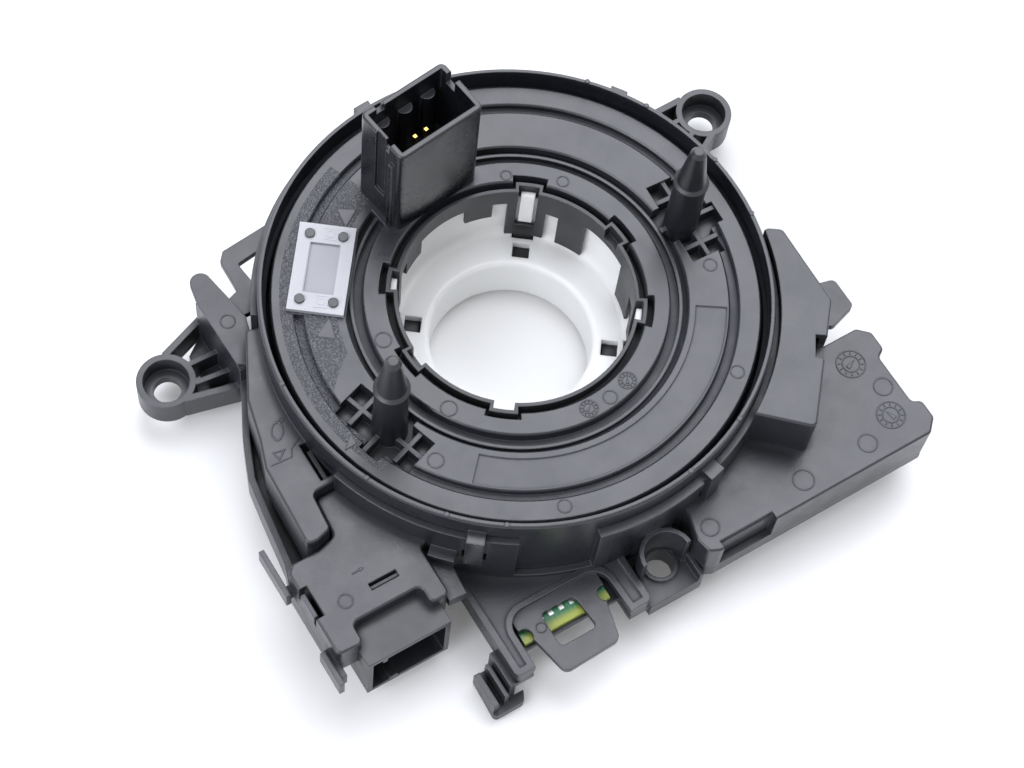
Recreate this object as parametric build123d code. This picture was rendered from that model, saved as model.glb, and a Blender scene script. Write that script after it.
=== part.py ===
# Steering clock spring: a rotor with the wheel plug turns in a housing that is screwed
# to the steering column. All sizes in millimetres, +Z up, origin on the rotor axis
# at the lower mouth of the hub bore.
import os
from math import cos, radians, sin

from build123d import *

os.makedirs("parts", exist_ok=True)

# Walls and clearances
SKIN = 1.3
LID = 1.4
GAP = 0.3
RUNNING = 0.08
ROTOR_GAP = 0.8
CORNER = 1.2
EDGE = 0.45

# Drum of the housing
RIM_RADIUS = 47.5
RIM_TOP = 30.0
DRUM_INNER = RIM_RADIUS - 1.5
WALL_INNER = RIM_RADIUS + 0.1
WALL_OUTER = RIM_RADIUS + SKIN
WALL_TOP = RIM_TOP - 4.5
BASE_Z = -1.2
FLOOR_LOW = 5.6
FLOOR_TOP = FLOOR_LOW + LID

# Rotor cover
ROTOR_RADIUS = DRUM_INNER - ROTOR_GAP
ROTOR_TOP = RIM_TOP - 2.8
COVER_BOTTOM = ROTOR_TOP - 3.2
ROTOR_TURN = 7.6

# Hub, from the bore outwards
BORE_RADIUS = 15.5
BORE_LENGTH = FLOOR_TOP + 2.4
SHOULDER = BORE_LENGTH + 1.0
SHOULDER_LOW = SHOULDER - 1.8
SLEEVE_OUTER = BORE_RADIUS + 1.4
CLIP_INNER = BORE_RADIUS + 6.4
CLIP_OUTER = CLIP_INNER + 0.7
CUP_INNER = CLIP_OUTER + 0.6
CUP_OUTER = CUP_INNER + 1.2
CORE_OUTER = CUP_OUTER + 1.4
CLIP_FLANGE = 1.0
CUP_TOP = COVER_BOTTOM - CLIP_FLANGE
HOOK_ANGLES = (45, 135, -45, -135)

# Notches of the cover's opening, which the rim of the clip ring follows
NOTCH_ANGLES = (-3, 177, *HOOK_ANGLES)
NOTCH_HALF = 7.6
NOTCH_DEPTH = 1.5

# Rings of the rotor cover: opening, groove with a rib, shallow groove
OPENING_RADIUS = CLIP_OUTER + 1.3
DEEP_IN = CORE_OUTER + 2.6
DEEP_OUT = CORE_OUTER + 5.8
FINE_IN = ROTOR_RADIUS - 5.8
FINE_OUT = ROTOR_RADIUS - 4.2

# Pieces standing on the rotor
PLUG_WIDTH = 18.8
PLUG_DEPTH = 12.0
PLUG_TOP = 52.5
PLUG_FLOOR = 34.0
PLUG_WALL = 1.1
PLUG_RADIUS = CLIP_OUTER + 7.0
POST_TOP = 52.0
POST_RADIUS = ROTOR_RADIUS - 10.1
POST_ANGLE = 10.5
WINDOW_LONG = 18.3
WINDOW_WIDE = 10.5
WINDOW_THICK = 0.9
WINDOW_RADIUS = ROTOR_RADIUS - 9.1
WINDOW_ANGLE = 135.0
WINDOW_PINS = [(x, y) for x in (-3.1, 3.1) for y in (-6.9, 6.9)]

# Contacts
PITCH = 2.54
PIN_HALF = 0.32

# Turning pieces under the cover
DRUM_FLANGE_LOW = 13.8
DRUM_FLANGE_TOP = DRUM_FLANGE_LOW + 1.0
RIBBON_START = CORE_OUTER + 0.8
RIBBON_LOW = DRUM_FLANGE_TOP + GAP
RIBBON_TOP = COVER_BOTTOM - 2.2
DISC_RADIUS = DRUM_INNER - 8.0
DISC_LOW = FLOOR_TOP + 3.0
DISC_TOP = DISC_LOW + 0.8

# Fixing lugs
LUG_HOLE = 2.65
LUG_X = 60.6
LUG_Y = 24.4
LUG_OUTER = 5.6
LUG_LOW = 3.0
LUG_TOP = 9.0

# Heights beside the drum
BOARD = 1.2
BOX_SEAM = 9.6
BOX_TOP = 17.0
CAP_TOP = 28.0
BAY_TOP = 12.0
COVER_TOP = 20.0
FLANGE_TOP = 23.0
SOCKET_LOW = 3.0
SOCKET_TOP = COVER_TOP - 3.0
PANEL_TOP = 10.0
SNAP_LOW = WALL_TOP - 8.5

# What stands beside the drum is drawn from three points just outside its wall
REACH = WALL_OUTER + 1.2
HARNESS_SIDE = Pos(-0.8 * REACH, -0.6 * REACH, 0)
FRONT_SIDE = Pos(0, -REACH, 0)
LEFT_SIDE = Pos(-0.8 * REACH, 0.6 * REACH, 0)

# Way of the ribbon through the wall: angles on the drum, height outside it
PASSAGE = (-158, -147)
PASSAGE_INNER = DRUM_INNER - 1.0
PASSAGE_LOW = 12.0
NECK_TOP = PASSAGE_LOW + 4.0

# Angles of the snap hooks, rim dots and wall windows
SNAP_ANGLES = (-130, -75.5, 35, 95)
RIM_DOTS = (-137, -124, -156, 175, -81, -64, -10, 6, 27, 42)
FRONT_WINDOW = (-121, -104)
SIDE_WINDOW = (154.5, 197)
NOTICE_FIELD = (-141, -41)

# Outlines of the harness side seen from above
FLANGE = [(0, 48.5), (-5.8, 50), (-12.3, 37.4), (-14.2, 29.4), (-16, 24.1), (-16.7, 7.5), (-14.7, 7.4),
          (-11.6, 8.3), (-11, 15.7), (-4.9, 16), (0, 16)]
COVER = [(-10.6, 15.6), (-11.2, 7.8), (-14.8, 6.8), (-20.3, 6.8), (-21.7, 5.4), (-21.7, -12), (-16.6, -12.2),
         (-16.6, -8), (-2.8, -8), (-2.8, -11.8), (1, -11.8), (1, -1.6), (10, 1), (10, 15.6)]
BAY = [(-4, 50), (-9.5, 45.5), (-14.4, 36), (-17.6, 28), (-18.6, 21), (-20, 10), (-21.4, 6), (-21.4, -8),
       (1.4, -8), (4, -6), (10, 30)]
SOCKET_X = (-17.6, -0.8)
SOCKET_FRONT = -15.6
SOCKET_BACK = 2.4

# Outlines of the front side seen from above
APRON = [(-34.6, 20), (-34.6, -8.6), (-30.8, -8.6), (-30.8, -4), (-10, -4), (-10, -8.2), (-5.6, -8.2),
         (-5.6, 10)]
PANEL = [(-34.6, 20), (-34.6, -8.6), (-5.6, -8.2), (-5.6, 10)]
MOUTH = [(-30.8, -16), (-30.6, 2.2), (-10.4, 2.2), (-10, -16)]
MOUTH_BEND = 3.6
TAB = [(-29.8, 4), (-29.8, -1), (-28, -4), (-26.4, -12), (-14.6, -11.6), (-12.8, -4), (-11.6, -1), (-11.6, 4)]
BOX = [(7.4, 3), (5.6, -4.4), (6.2, -7.4), (8.2, -8.3), (55.4, -8.3), (57.8, -5.9), (57.8, -2), (56, -1.2),
       (56, 9.4), (57.8, 10.4), (57.8, 14.4), (55.6, 16.5), (34, 16.5)]
CAP = [(22, 12), (24.4, 7.8), (32.7, 0), (50, 20), (50.5, 37), (48.2, 38.6), (40, 38.6)]
FRONT_LUG = Pos(0.2, -2.4, 0)


def polar(radius, angle):
    return (radius * cos(radians(angle)), radius * sin(radians(angle)))


def disc(radius, low, high):
    return Pos(0, 0, low) * Cylinder(radius, high - low, align=(Align.CENTER, Align.CENTER, Align.MIN))


def ring(outer, inner, low, high):
    return disc(outer, low, high) - disc(inner, low - 1, high + 1)


def block(x_low, x_high, y_low, y_high, low, high):
    corner = (Align.MIN, Align.MIN, Align.MIN)
    return Pos(x_low, y_low, low) * Box(x_high - x_low, y_high - y_low, high - low, align=corner)


def prism(points, low, high, corner=0.0):
    # upright body over a plan outline, its corners rounded where a radius is given
    outline = make_face(Polyline(*points, close=True))
    if corner:
        outline = fillet(outline.vertices(), corner)
    return extrude(Pos(0, 0, low) * outline, high - low)


def room(points, low, high):
    # what is inside the walls of a moulding
    outline = make_face(Polyline(*points, close=True))
    return extrude(Pos(0, 0, low) * offset(outline, -SKIN, kind=Kind.INTERSECTION), high - low)


def walls(points, low, high):
    return prism(points, low, high, CORNER) - room(points, low - 1, high + 1)


def lid(points, low, top):
    # moulded lid: a top plate on walls, with its upper edge rounded
    body = prism(points, low, top, CORNER)
    body = fillet(body.edges().group_by(Axis.Z)[-1], EDGE)
    return body - room(points, low - 1, top - LID)


def sector(outer, inner, start, end, low, high):
    middle = (start + end) / 2
    far = ThreePointArc(polar(outer, start), polar(outer, middle), polar(outer, end))
    near = ThreePointArc(polar(inner, end), polar(inner, middle), polar(inner, start))
    side_a = Line(polar(outer, end), polar(inner, end))
    side_b = Line(polar(inner, start), polar(outer, start))
    return extrude(Pos(0, 0, low) * make_face(far + side_a + near + side_b), high - low)


def turned(profile):
    # body of revolution from points given as radius and height
    outline = make_face(Plane.XZ * Polyline(*profile, close=True))
    return revolve(outline, Axis.Z)


def at(radius, angle, piece):
    # a piece drawn with +X radial is set at that radius and angle
    return Rot(0, 0, angle) * (Pos(radius, 0, 0) * piece)


def inside_wall():
    # everything up to the drum wall, kept free by the pieces beside the drum
    return disc(WALL_OUTER, BASE_Z - 1, CAP_TOP + RIM_TOP)


def inside_wall_sunk():
    # the same, but leaving pieces of the housing rooted in its wall
    return disc(WALL_OUTER - SKIN / 2, BASE_Z - 1, CAP_TOP + RIM_TOP)


def save(name, piece, turn=0.0):
    piece = Rot(0, 0, turn) * piece
    solids = piece.solids()
    export_step(Compound(children=list(solids)) if len(solids) > 1 else solids[0], f"parts/{name}.step")


def lug_rib(start, end, wall):
    # straight upright rib between two plan points
    length = ((end[0] - start[0]) ** 2 + (end[1] - start[1]) ** 2) ** 0.5
    side_x = (start[1] - end[1]) / length * wall / 2
    side_y = (end[0] - start[0]) / length * wall / 2
    corners = [(start[0] + side_x, start[1] + side_y), (end[0] + side_x, end[1] + side_y),
               (end[0] - side_x, end[1] - side_y), (start[0] - side_x, start[1] - side_y)]
    return prism(corners, LUG_LOW, LUG_TOP)


def side_lug(upper, lower):
    # lug: round boss with a sunk seat, two outer walls, two ribs and a web at their root
    root = polar(WALL_OUTER - 0.5, 32)
    piece = Pos(LUG_X, LUG_Y, 0) * disc(LUG_OUTER, LUG_LOW, LUG_TOP)
    web = [(LUG_X - 7, LUG_Y + 4.5), (LUG_X - 7, LUG_Y - 5), lower, root, upper]
    piece += prism(web, LUG_LOW, LUG_LOW + LID)
    piece += lug_rib((LUG_X - 2.3, LUG_Y + 4.9), upper, SKIN)
    piece += lug_rib((LUG_X - 1.2, LUG_Y - 5), lower, SKIN)
    piece += lug_rib((LUG_X - 4.6, LUG_Y + 1), polar(WALL_OUTER, 31), 1.0)
    piece += lug_rib((LUG_X - 4.6, LUG_Y - 3), polar(WALL_OUTER, 24.5), 1.0)
    piece -= Pos(LUG_X, LUG_Y, 0) * disc(LUG_OUTER - 1.2, LUG_LOW + 2, LUG_TOP + 1)
    piece -= Pos(LUG_X, LUG_Y, 0) * disc(LUG_HOLE, LUG_LOW - 1, LUG_TOP + 1)
    return piece - inside_wall_sunk()


def front_lug():
    # lug under a half-round screen wall, open to the front
    piece = block(-5.8, 5.4, -6.2, 8, LUG_LOW, FLOOR_TOP)
    piece += disc(LUG_HOLE + 0.75, FLOOR_TOP, FLOOR_TOP + 0.6)
    screen = ring(5.1, 4.3, FLOOR_TOP, BOX_TOP - 1) - block(-9, 9, -9, 0, FLOOR_LOW, BOX_TOP)
    piece += Pos(-0.4, -1.3, 0) * screen
    piece += block(4.6, 5.4, -6.2, 2, FLOOR_TOP, BOX_SEAM)
    piece -= disc(LUG_HOLE, 0, RIM_TOP)
    return FRONT_SIDE * FRONT_LUG * piece - inside_wall_sunk()


def cap_bracket():
    # box under the raised cap, with the tab that sticks out of it
    piece = prism(CAP, FLOOR_LOW, FLOOR_TOP)
    piece += walls(CAP, FLOOR_LOW, BOX_TOP) - block(10, 60, -10, 16.5, FLOOR_TOP, BOX_TOP + 1)
    tab = [(48, 32), (60.4, 29), (60.4, 22.4), (54.4, 20.6), (48, 26)]
    piece += prism(tab, BAY_TOP - 1.5, BAY_TOP, 1.2)
    return FRONT_SIDE * piece - inside_wall_sunk()


def leaf_arm():
    # leaf-shaped arm with a round tip beside the left lug, on a wall down to the lug's web
    leaf = [(-3.2, -5.4), (-5.1, 5.2), (-9.1, 5.2), (-9.8, 1), (-9.4, -13), (-6, -15)]
    low = BOX_TOP - 0.4
    arm = prism(leaf, low, low + LID, 0.4) + Pos(-7.1, 5.1, 0) * disc(2, low, low + LID)
    arm = LEFT_SIDE * arm - HARNESS_SIDE * prism(FLANGE, 0, RIM_TOP)
    arm += LEFT_SIDE * prism([(-8.5, 2.4), (-9.7, 2.4), (-9.3, -14), (-8.1, -14)], LUG_LOW, low)
    return arm - inside_wall_sunk()


def angled_strip():
    # angled strip on the drum wall, with an open triangle behind it
    plan = [(12, 13.2), (1, 12), (-0.5, 10.2), (-0.6, 3.2), (-3.4, 2.2), (-2.6, -2), (4, -2), (12, 6)]
    strip = prism(plan, BAY_TOP - 1.5, BAY_TOP, 0.8)
    strip -= prism([(9, 9.2), (2.2, 8.2), (2.8, 3.2), (7, 0)], BAY_TOP - 2, BAY_TOP + 1, 0.4)
    return LEFT_SIDE * strip - inside_wall_sunk()


def wall_bar():
    # short bar on the drum wall between the plug cover and the snap hook beside it
    return sector(WALL_OUTER + 2.2, WALL_OUTER - 0.5, -139.2, -133.7, COVER_TOP - 3.0, COVER_TOP - 0.8)


def wall_bead():
    # raised edge along the wall beside the front window
    piece = sector(WALL_OUTER + 0.5, WALL_OUTER - 0.2, FRONT_WINDOW[1], -78.5, WALL_TOP - 1, WALL_TOP)
    return piece + sector(WALL_OUTER + 0.5, WALL_OUTER - 0.2, FRONT_WINDOW[1], -101, PANEL_TOP + 1, WALL_TOP)


def lower_housing():
    # floor and drum wall, with the trays beside them
    piece = disc(WALL_OUTER, FLOOR_LOW, FLOOR_TOP)
    piece += ring(WALL_OUTER, WALL_INNER, FLOOR_LOW, WALL_TOP)
    piece += ring(SLEEVE_OUTER + 2.1, SLEEVE_OUTER, BASE_Z, FLOOR_TOP)
    piece += HARNESS_SIDE * prism(BAY[:-1] + [(40, 30)], FLOOR_LOW, FLOOR_TOP)
    bay = HARNESS_SIDE * walls(BAY, FLOOR_LOW, BAY_TOP) - inside_wall_sunk()
    piece += bay - FRONT_SIDE * prism(PANEL, FLOOR_TOP, RIM_TOP)
    piece += FRONT_SIDE * prism(BOX, FLOOR_LOW, FLOOR_TOP)
    piece += FRONT_SIDE * walls(BOX, FLOOR_LOW, BOX_SEAM) - inside_wall_sunk()
    piece += FRONT_SIDE * prism(APRON, FLOOR_LOW, FLOOR_TOP)
    piece += cap_bracket()
    piece += side_lug(polar(WALL_OUTER - 0.5, 36.6), polar(WALL_OUTER - 0.5, 14.4))
    piece += mirror(side_lug((LUG_X - 12.6, LUG_Y + 8.8), polar(WALL_OUTER - 0.5, 19.5)), Plane.YZ)
    piece += front_lug() + leaf_arm() + angled_strip() + wall_bar() + wall_bead()
    # inside space, windows in the wall
    piece -= disc(WALL_INNER, FLOOR_TOP, RIM_TOP)
    piece -= disc(SLEEVE_OUTER + RUNNING, BASE_Z - 1, RIM_TOP)
    piece -= sector(WALL_OUTER + 0.1, RIM_RADIUS, *FRONT_WINDOW, BAY_TOP - 1, RIM_TOP)
    piece -= sector(WALL_OUTER + 0.1, RIM_RADIUS, *SIDE_WINDOW, BAY_TOP, RIM_TOP)
    for angle in SNAP_ANGLES:
        piece -= sector(WALL_OUTER + 2, RIM_RADIUS, angle - 2.6, angle + 2.6, SNAP_LOW, SNAP_LOW + 3.4)
    return piece - cable_passage() - board_passage() - HARNESS_SIDE * socket_body()


def snap_hook():
    # tongue over the outer wall with a nose that catches in the wall's window
    piece = sector(WALL_OUTER + 1.2, RIM_RADIUS - 0.1, -1.9, 1.9, WALL_TOP, WALL_TOP + 1.2)
    piece += sector(WALL_OUTER + 1.2, WALL_OUTER, -1.9, 1.9, SNAP_LOW, WALL_TOP)
    return piece + sector(WALL_OUTER, RIM_RADIUS + 0.4, -1.7, 1.7, SNAP_LOW + 1.2, SNAP_LOW + 3)


def drum_ring():
    # rim and upper drum wall, with an inner ledge that keeps the winding drum down
    rim_step = RIM_TOP - 5.0
    piece = turned([(RIM_RADIUS, FLOOR_TOP), (RIM_RADIUS, RIM_TOP - 0.4), (RIM_RADIUS - 0.3, RIM_TOP),
                    (RIM_RADIUS - 0.9, RIM_TOP), (RIM_RADIUS - 0.9, rim_step), (DRUM_INNER, rim_step - 0.6),
                    (DRUM_INNER, FLOOR_TOP)])
    ledge = DRUM_INNER - 2.4
    stop = turned([(DRUM_INNER + 0.2, RIBBON_LOW), (ledge, RIBBON_LOW), (ledge, RIBBON_LOW + 0.6),
                   (DRUM_INNER + 0.2, RIBBON_LOW + 1.8)])
    piece += stop - sector(DRUM_INNER + 2, ledge - 1, -168, -142, RIBBON_LOW - 1, RIBBON_LOW + 3)
    # flange over the cable bay, with its outer wall and a pocket for a latch
    flange = lid(FLANGE, BAY_TOP, FLANGE_TOP) - block(-8.6, -4.6, 17, 25, FLANGE_TOP - 3, FLANGE_TOP + 1)
    flange += block(-7.9, -7.1, 17, 23.4, FLANGE_TOP - 3, FLANGE_TOP - 0.8)
    piece += HARNESS_SIDE * flange - disc(RIM_RADIUS - 0.2, 0, RIM_TOP)
    for angle in SNAP_ANGLES:
        piece += Rot(0, 0, angle) * snap_hook()
    for angle in RIM_DOTS:
        piece += at(RIM_RADIUS - 0.5, angle, disc(0.45, RIM_TOP - 0.1, RIM_TOP + 0.2))
    return piece - cable_passage() - board_passage()


def window_bed():
    # flat seat for the clear window, with the four pins that hold it
    half_wide = WINDOW_WIDE / 2 + 0.4
    half_long = WINDOW_LONG / 2 + 0.4
    bed = block(-half_wide, half_wide, -half_long, half_long, COVER_BOTTOM, ROTOR_TOP)
    head = ROTOR_TOP + WINDOW_THICK
    for x, y in WINDOW_PINS:
        bed += Pos(x, y, 0) * (disc(0.65, ROTOR_TOP, head) + disc(0.95, head, head + 0.4))
    return at(WINDOW_RADIUS, WINDOW_ANGLE, bed)


def window_field(inset, low, high):
    # middle field of the window, drawn in by the inset
    half_wide = WINDOW_WIDE / 2 - 2.1 - inset
    half_long = WINDOW_LONG / 2 - 3.5 - inset
    return block(-half_wide, half_wide, -half_long, half_long, low, high)


def centring_window():
    # clear plate pressed over the pins, its middle sunk into the bed and hollow on top
    half_wide = WINDOW_WIDE / 2
    half_long = WINDOW_LONG / 2
    plate = block(-half_wide, half_wide, -half_long, half_long, ROTOR_TOP, ROTOR_TOP + WINDOW_THICK)
    plate += window_field(0, ROTOR_TOP - 0.8, ROTOR_TOP)
    plate -= window_field(0.5, ROTOR_TOP + 0.5, ROTOR_TOP + WINDOW_THICK + 1)
    for x, y in WINDOW_PINS:
        plate -= Pos(x, y, 0) * disc(0.65, ROTOR_TOP - 1, ROTOR_TOP + WINDOW_THICK + 1)
    return at(WINDOW_RADIUS, WINDOW_ANGLE, plate)


def post_opening():
    # stepped opening round the foot of a post: x runs outwards, y around
    low = COVER_BOTTOM - 1
    high = ROTOR_TOP + 1
    opening = block(-2.4, 4.8, -8.6, 9.0, low, high)
    opening += block(-4.4, 0, -3.4, 4.2, low, high)
    return opening + block(3, 7.2, -3.4, 1, low, high)


def stepped_plan(radius, trim, low, high):
    # round body with a step outwards in each notch, the steps narrowed by the trim at each side
    piece = disc(radius, low, high)
    for angle in NOTCH_ANGLES:
        start = angle - NOTCH_HALF + trim
        piece += sector(radius + NOTCH_DEPTH, radius - 3, start, angle + NOTCH_HALF - trim, low, high)
    return piece


def rotor_cover():
    top = ROTOR_TOP
    under = COVER_BOTTOM
    groove = under + 0.9
    rib = (DEEP_IN + DEEP_OUT) / 2 + 0.1
    piece = turned([(OPENING_RADIUS, under), (OPENING_RADIUS, top - 0.3), (OPENING_RADIUS + 0.3, top),
                    (DEEP_IN - 0.3, top), (DEEP_IN, top - 0.3), (DEEP_IN + 0.1, groove), (rib, groove),
                    (rib, top - 1), (rib + 0.6, top - 1), (rib + 0.6, groove), (DEEP_OUT, groove),
                    (DEEP_OUT, top - 0.3), (DEEP_OUT + 0.3, top), (FINE_IN - 0.3, top), (FINE_IN, top - 0.3),
                    (FINE_IN, top - LID), (FINE_OUT, top - LID), (FINE_OUT, top - 0.3), (FINE_OUT + 0.3, top),
                    (ROTOR_RADIUS - 0.3, top), (ROTOR_RADIUS, top - 0.3), (ROTOR_RADIUS, under - 1.8),
                    (ROTOR_RADIUS - 1.2, under - 1.8), (ROTOR_RADIUS - 1.2, top - 1.8),
                    (FINE_OUT + 1.2, top - 1.8), (FINE_OUT + 1.2, under), (FINE_IN - 1.2, under),
                    (FINE_IN - 1.2, top - 1.6), (DEEP_OUT + 1.2, top - 1.6), (DEEP_OUT + 1.2, under)])
    piece -= stepped_plan(OPENING_RADIUS, 0, under - 1, top + 1)
    # bed of the window, beds round the two post openings, and the plug's seat
    piece += window_bed()
    piece -= at(WINDOW_RADIUS, WINDOW_ANGLE, window_field(0, top - 0.8, top + 1))
    bed = at(POST_RADIUS, -POST_ANGLE, block(-4.8, 8, -10, 10.4, under, top - LID))
    bed -= disc(DEEP_OUT, 0, RIM_TOP)
    opening = at(POST_RADIUS, -POST_ANGLE, post_opening())
    for half_bed, half_opening in ((bed, opening), (mirror(bed, Plane.YZ), mirror(opening, Plane.YZ))):
        piece += half_bed
        piece -= half_opening
    seat = PLUG_WIDTH / 2 + 1
    piece += block(-seat, seat, OPENING_RADIUS + 0.6, PLUG_RADIUS + PLUG_DEPTH / 2 + 1, under, top)
    piece -= plug_spigot()
    # shallow bare field along the front of the middle ring
    return piece - sector(FINE_IN - 0.6, DEEP_OUT + 1.4, *NOTICE_FIELD, top - 0.25, top + 1)


def drive_post():
    # smooth peg with a cone tip and collar on a ribbed foot; its base plate lies under the cover
    low = COVER_BOTTOM - 1.2
    rib_top = ROTOR_TOP - 0.4
    collar = POST_TOP - 11.4
    base = block(-4.6, 7.6, -9.6, 10, low, COVER_BOTTOM)
    piece = base - at(-POST_RADIUS, 0, disc(CORE_OUTER + 1.9, 0, RIM_TOP))
    piece += turned([(0, low), (3.3, low), (3.0, collar), (3.3, collar + 0.4), (3.3, collar + 1),
                     (2.7, collar + 1.4), (1.5, POST_TOP - 1), (0.9, POST_TOP), (0, POST_TOP)])
    for y in (-5.4, 5.4):
        piece += block(-2.4, 4.8, y - 0.45, y + 0.45, COVER_BOTTOM, rib_top)
    piece += block(0.8, 1.6, -8.6, 9, COVER_BOTTOM, rib_top)
    piece += block(-4.4, 7.2, -0.45, 0.45, COVER_BOTTOM, rib_top)
    return at(POST_RADIUS, -POST_ANGLE, piece)


def plug_spigot():
    # foot of the plug, let into the cover
    half = PLUG_WIDTH / 2 - 1.2
    y_low = PLUG_RADIUS - PLUG_DEPTH / 2 + 1.2
    return block(-half, half, y_low, PLUG_RADIUS + PLUG_DEPTH / 2 - 1.2, COVER_BOTTOM, ROTOR_TOP)


def plug_pin(slot):
    # one contact of the wheel plug
    pin = block(-PIN_HALF, PIN_HALF, -PIN_HALF, PIN_HALF, COVER_BOTTOM, PLUG_TOP - 7.5)
    return Pos((slot - 0.5) * PITCH, PLUG_RADIUS, 0) * pin


def wheel_plug():
    half = PLUG_WIDTH / 2
    y_low = PLUG_RADIUS - PLUG_DEPTH / 2
    y_high = PLUG_RADIUS + PLUG_DEPTH / 2
    floor = PLUG_FLOOR
    piece = prism([(-half, y_low), (half, y_low), (half, y_high), (-half, y_high)], ROTOR_TOP, PLUG_TOP, 1.2)
    piece = fillet(piece.edges().group_by(Axis.Z)[-1], EDGE) + plug_spigot()
    inside = half - PLUG_WALL
    piece -= block(-inside, inside, y_low + PLUG_WALL, y_high - PLUG_WALL, floor, PLUG_TOP + 1)
    # ridges on the far inner wall, keying groove and rim notches
    for x in (-5.2, 0, 5.2):
        ridge = Pos(x, y_high - PLUG_WALL, 0) * disc(1.5, floor, PLUG_TOP - 5)
        piece += ridge - block(-half, half, y_high - PLUG_WALL, y_high + 5, floor - 1, PLUG_TOP)
    piece -= block(-half - 1, -half + 0.6, PLUG_RADIUS - 1.6, PLUG_RADIUS + 1.2, floor, PLUG_TOP + 1)
    piece -= block(-half - 1, -half + 3, PLUG_RADIUS - 2.6, PLUG_RADIUS - 1.0, PLUG_TOP - 2.2, PLUG_TOP + 1)
    piece -= block(half - 3, half + 1, PLUG_RADIUS + 1, PLUG_RADIUS + 3.4, PLUG_TOP - 3, PLUG_TOP + 1)
    piece -= block(-6.4, -4.6, y_high - 2, y_high + 1, PLUG_TOP - 1.6, PLUG_TOP + 1)
    piece += block(-half - 0.8, -half, y_low + 1.6, y_low + 2.6, ROTOR_TOP, PLUG_TOP - 4)
    return piece - plug_pin(0) - plug_pin(1)


def wheel_plug_pins():
    return plug_pin(0) + plug_pin(1)


def clip_gap(start, end, top):
    # gap below the clip ring's flange, the same in all four quarters
    gap = sector(CUP_INNER, CLIP_INNER - 1, start, end, SHOULDER_LOW - 2, top)
    gap += mirror(gap, Plane.XZ)
    return gap + mirror(gap, Plane.YZ)


def hub_clip_ring():
    # flange between cover and core, a rim that follows the opening, skirts and hooks in the cup
    low = SHOULDER_LOW - 1
    skirt = SHOULDER + 0.8
    window = SHOULDER + 4.5
    band = CUP_TOP - 0.5
    piece = turned([(CLIP_INNER, low), (CLIP_INNER, COVER_BOTTOM), (CORE_OUTER, COVER_BOTTOM),
                    (CORE_OUTER, CUP_TOP), (CLIP_OUTER, CUP_TOP), (CLIP_OUTER, low)])
    # gaps that leave a wide skirt, a hook with its own skirt and a short skirt in each quarter
    piece -= clip_gap(-2, 14, band)
    piece -= clip_gap(12, 40.4, skirt)
    piece -= clip_gap(28.6, 35.4, CUP_TOP - 2.6)
    piece -= clip_gap(49.6, 63, skirt)
    piece -= clip_gap(54.6, 62, band)
    piece -= clip_gap(61, 77, SHOULDER + 7.6)
    piece -= clip_gap(76, 92, band)
    rim = stepped_plan(CLIP_OUTER, 1.3, COVER_BOTTOM, ROTOR_TOP - 0.3)
    piece += rim - stepped_plan(CLIP_INNER, 2.7, COVER_BOTTOM - 1, ROTOR_TOP)
    for angle in HOOK_ANGLES:
        piece -= sector(CLIP_INNER + NOTCH_DEPTH, CLIP_INNER - 1, angle - 4.9, angle + 4.9, window, ROTOR_TOP)
        piece += at(0, angle, block(SLEEVE_OUTER + 0.7, CLIP_OUTER - 0.2, -1.6, 1.6, low, SHOULDER_LOW))
    return piece


def hub_sleeve():
    # bearing sleeve: straight bore with a rounded lip, flat shoulder and cup
    outline = make_face(Polyline((BORE_RADIUS, 0), (BORE_RADIUS, SHOULDER), (CUP_INNER, SHOULDER),
                                 (CUP_INNER, CUP_TOP), (CUP_OUTER, CUP_TOP), (CUP_OUTER, SHOULDER + 1.2),
                                 (CUP_OUTER - 2.4, SHOULDER_LOW), (SLEEVE_OUTER, SHOULDER_LOW),
                                 (SLEEVE_OUTER, 0), close=True))
    lip = outline.vertices().sort_by_distance((BORE_RADIUS, SHOULDER))[0]
    outline = fillet(lip, SHOULDER - BORE_LENGTH)
    bend = outline.vertices().sort_by_distance((CUP_INNER, SHOULDER))[0]
    piece = revolve(Plane.XZ * fillet(bend, 2.0), Axis.Z)
    # slots for the hooks, windows over their noses and tongues in the clip ring's windows
    low = SHOULDER_LOW - 1
    tongue = (SHOULDER + 5, COVER_BOTTOM + 1)
    for angle in HOOK_ANGLES:
        slot = block(CLIP_INNER - 0.5, CUP_INNER - 0.1, -2.1, 2.1, low, SHOULDER + 2.4)
        slot += block(SLEEVE_OUTER + 0.3, SLEEVE_OUTER + 3.5, -1.65, 1.65, low, SHOULDER + 1)
        piece -= at(0, angle, slot)
        piece += sector(CUP_INNER + 0.1, CLIP_INNER + 0.4, angle - 3.4, angle + 3.4, *tongue)
    return piece


def winding_drum():
    piece = ring(CORE_OUTER, CUP_OUTER, DRUM_FLANGE_LOW, CUP_TOP)
    return piece + ring(DRUM_INNER - 1.4, CUP_OUTER, DRUM_FLANGE_LOW, DRUM_FLANGE_TOP)


def ribbon_cable():
    # flat cable coil on the core: half turns of growing radius, then a lead to the drum wall
    pitch = 1.9
    thick = 0.4
    halves = 13
    reach = RIM_RADIUS + 10
    coil = Part()
    for half in range(halves):
        inner = RIBBON_START + half * pitch / 2
        upper = half % 2 == 0
        y_low, y_high = (0, reach) if upper else (-reach, 0)
        arc = Pos(0 if upper else pitch / 2, 0, 0) * ring(inner + thick, inner, RIBBON_LOW, RIBBON_TOP)
        coil += arc & block(-reach, reach, y_low, y_high, RIBBON_LOW - 1, RIBBON_TOP + 1)
    end = RIBBON_START + (halves - 1) * pitch / 2
    far = polar(DRUM_INNER + 5.6, -148.5)
    lead = prism([(-end, 0), (-end - thick, 0), far, (far[0] + 0.5, far[1])], RIBBON_LOW, RIBBON_TOP)
    return coil + (lead & disc(PASSAGE_INNER, 0, RIM_TOP))


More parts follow.
